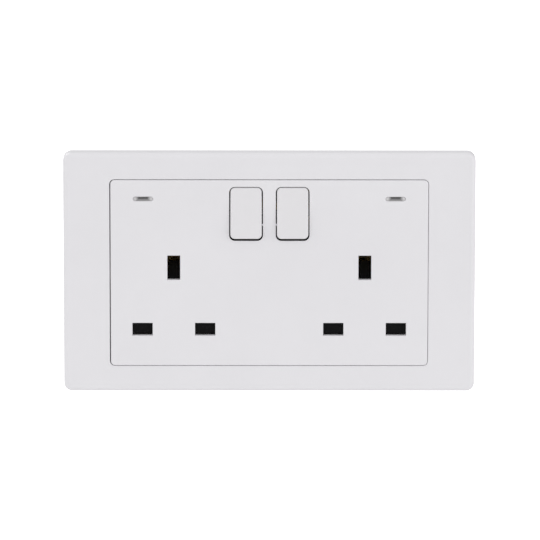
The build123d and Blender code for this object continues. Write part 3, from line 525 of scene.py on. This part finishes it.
def signal_lamp(side):
    """A small discharge lamp: a glass envelope with a foot and two rods inside it."""
    low, high = corners_of(f"{side}_lamp")
    x, z = (low.x + high.x) / 2, (low.z + high.z) / 2
    front, rear = low.y + inset, high.y - inset
    wall, crown, bulb, foot, bevel = 0.2, 1.4, 1.48, 1.78, 0.08
    bulb_end, foot_start, glass_floor = rear - 1.0, rear - 0.8, rear - 0.5
    crown_middle = (bulb - crown, front + crown)
    outer = [(0, front)] + arc(crown_middle, crown, -90, 0, steps=6)
    outer += [(bulb, bulb_end), (foot, foot_start), (foot, rear - bevel), (foot - bevel, rear), (0, rear)]
    inner = [(0, glass_floor), (bulb - wall, glass_floor - 0.1)]
    inner += arc(crown_middle, crown - wall, 0, -90, steps=6) + [(0, front + wall)]
    envelope = bmesh.new()
    turned(envelope, outer + inner, (x, 0, z), steps=24)
    make_piece(f"{side}_lamp_envelope", envelope, "lamp_glass", [f"{side}_lamp"])
    rod, tip, lead, apart = 0.28, 0.15, 0.14, 0.5
    rod_front, rod_end, lead_start, lead_end = front + 1.1, rear - 1.2, rear - 1.1, rear - 0.52
    outline = [(0, rod_front)] + arc((rod - tip, rod_front + tip), tip, -90, 0, steps=3)
    outline += [(rod, rod_end), (lead, lead_start), (lead, lead_end), (0, lead_end)]
    rods = bmesh.new()
    for way in (-1, 1):
        turned(rods, outline, (x + way * apart, 0, z), steps=12)
    make_piece(f"{side}_lamp_rods", rods, "plated_steel")


def series_resistor(side):
    """A film resistor: a body with raised ends and colour bands, and two bent wire leads."""
    low, high = corners_of(f"{side}_lamp_resistor")
    middle = (low + high) / 2
    waist, cap, half, edge = 0.86, 1.08, 2.0, 0.32
    waist_end, cap_start = 1.0, 1.25
    right_end = [(waist, waist_end), (cap, cap_start)]
    right_end += arc((cap - edge, half - edge), edge, 0, 90) + [(0, half)]
    left_end = [(radius, -along) for radius, along in right_end[::-1]]
    body = bmesh.new()
    turned(body, left_end + right_end, middle, along=(1, 0, 0), steps=24)
    make_piece(f"{side}_resistor_body", body, "resistor", [f"{side}_lamp_resistor"])
    wire, foot_inset, bend_reach = 0.28, 0.3, 1.1
    leads = bmesh.new()
    for x, way in ((low.x + foot_inset, 1), (high.x - foot_inset, -1)):
        curve = bpy.data.curves.new("lead", "CURVE")
        curve.dimensions = "3D"
        curve.bevel_depth = wire * MM
        curve.bevel_resolution = 3
        curve.use_fill_caps = True
        route = curve.splines.new("NURBS")
        route.points.add(2)
        bend = ((x, low.y + inset), (x, middle.y), (x + way * bend_reach, middle.y))
        for point, (across, deep) in zip(route.points, bend):
            point.co = (across * MM, deep * MM, middle.z * MM, 1)
        route.order_u = 3
        route.use_endpoint_u = True
        holder = bpy.data.objects.new("lead", curve)
        leads.from_mesh(bpy.data.meshes.new_from_object(holder))
        bpy.data.objects.remove(holder)
    make_piece(f"{side}_resistor_leads", leads, "plated_steel")


def working_spring(node, body):
    """A copy of a wound spring, with a mesh of its own, that rides on the body it is given."""
    shape = bmesh.new()
    shape.from_mesh(nodes[node].data)
    coil = make_piece(f"{node}_coil", shape, "spring_steel", [node], body=body)
    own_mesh(coil)


terminal_screws()
assembly_screws()
for side in SIDES:
    signal_lamp(side)
    series_resistor(side)
    working_spring(f"{side}_plunger_spring", f"{side}_rocker")
    working_spring(f"{side}_shutter_spring", "housing")


# Floor and light: a pale floor and soft light from all round, mostly from the front

def pale_floor():
    """A plain floor well below the outlet, lit until it is as white as the photograph's background."""
    floor_height = -0.35
    shape = bmesh.new()
    bmesh.ops.create_grid(shape, x_segments=1, y_segments=1, size=8.0)
    bmesh.ops.translate(shape, verts=shape.verts, vec=(0, 0, floor_height))
    mesh = bpy.data.meshes.new("floor")
    shape.to_mesh(mesh)
    shape.free()
    floor = bpy.data.objects.new("floor", mesh)
    bpy.context.scene.collection.objects.link(floor)
    paint = bpy.data.materials.new("pale_floor")
    paint.use_nodes = True
    shader = paint.node_tree.nodes["Principled BSDF"]
    shader.inputs["Base Color"].default_value = (0.88, 0.88, 0.88, 1)
    shader.inputs["Roughness"].default_value = 0.9
    shader.inputs["Emission Color"].default_value = (1, 1, 1, 1)
    seen = add(paint.node_tree, "ShaderNodeLightPath").outputs["Is Camera Ray"]
    paint.node_tree.links.new(seen, shader.inputs["Emission Strength"])
    mesh.materials.append(paint)


def soft_lamp(name, place, size, power):
    """A square soft light that faces the outlet, its place and size in metres and its power in watts."""
    lamp = bpy.data.objects.new(name, bpy.data.lights.new(name, "AREA"))
    bpy.context.scene.collection.objects.link(lamp)
    lamp.data.size = size
    lamp.data.energy = power
    lamp.location = place
    lamp.rotation_mode = "QUATERNION"
    lamp.rotation_quaternion = (-Vector(place)).to_track_quat("-Z", "Y")


def white_room():
    """Even light that is stronger in front of the outlet than behind it, and white in the camera's view."""
    room = bpy.data.worlds.new("white_room")
    bpy.context.scene.world = room
    room.use_nodes = True
    tree = room.node_tree
    direction = add(tree, "ShaderNodeTexCoord").outputs["Generated"]
    depth = add(tree, "ShaderNodeSeparateXYZ", {"Vector": direction}).outputs["Y"]
    light = add(tree, "ShaderNodeMapRange", {
        "Value": depth, "From Min": 0.15, "From Max": 0.85, "To Min": 0.895, "To Max": 0.48}).outputs[0]
    seen = add(tree, "ShaderNodeLightPath").outputs["Is Camera Ray"]
    strength = add(tree, "ShaderNodeMix", {"Factor": seen, "A": light, "B": 1.0})
    back_cloth = tree.nodes["Background"]
    back_cloth.inputs["Color"].default_value = (1, 1, 1, 1)
    tree.links.new(strength.outputs["Result"], back_cloth.inputs["Strength"])


pale_floor()
white_room()
soft_lamp("left_light", (-1.6, -0.9, 0.3), size=1.2, power=3.0)
soft_lamp("right_light", (1.6, -0.9, 0.3), size=1.2, power=4.5)
soft_lamp("rear_light", (-0.9, 1.5, 1.1), size=0.8, power=10.0)
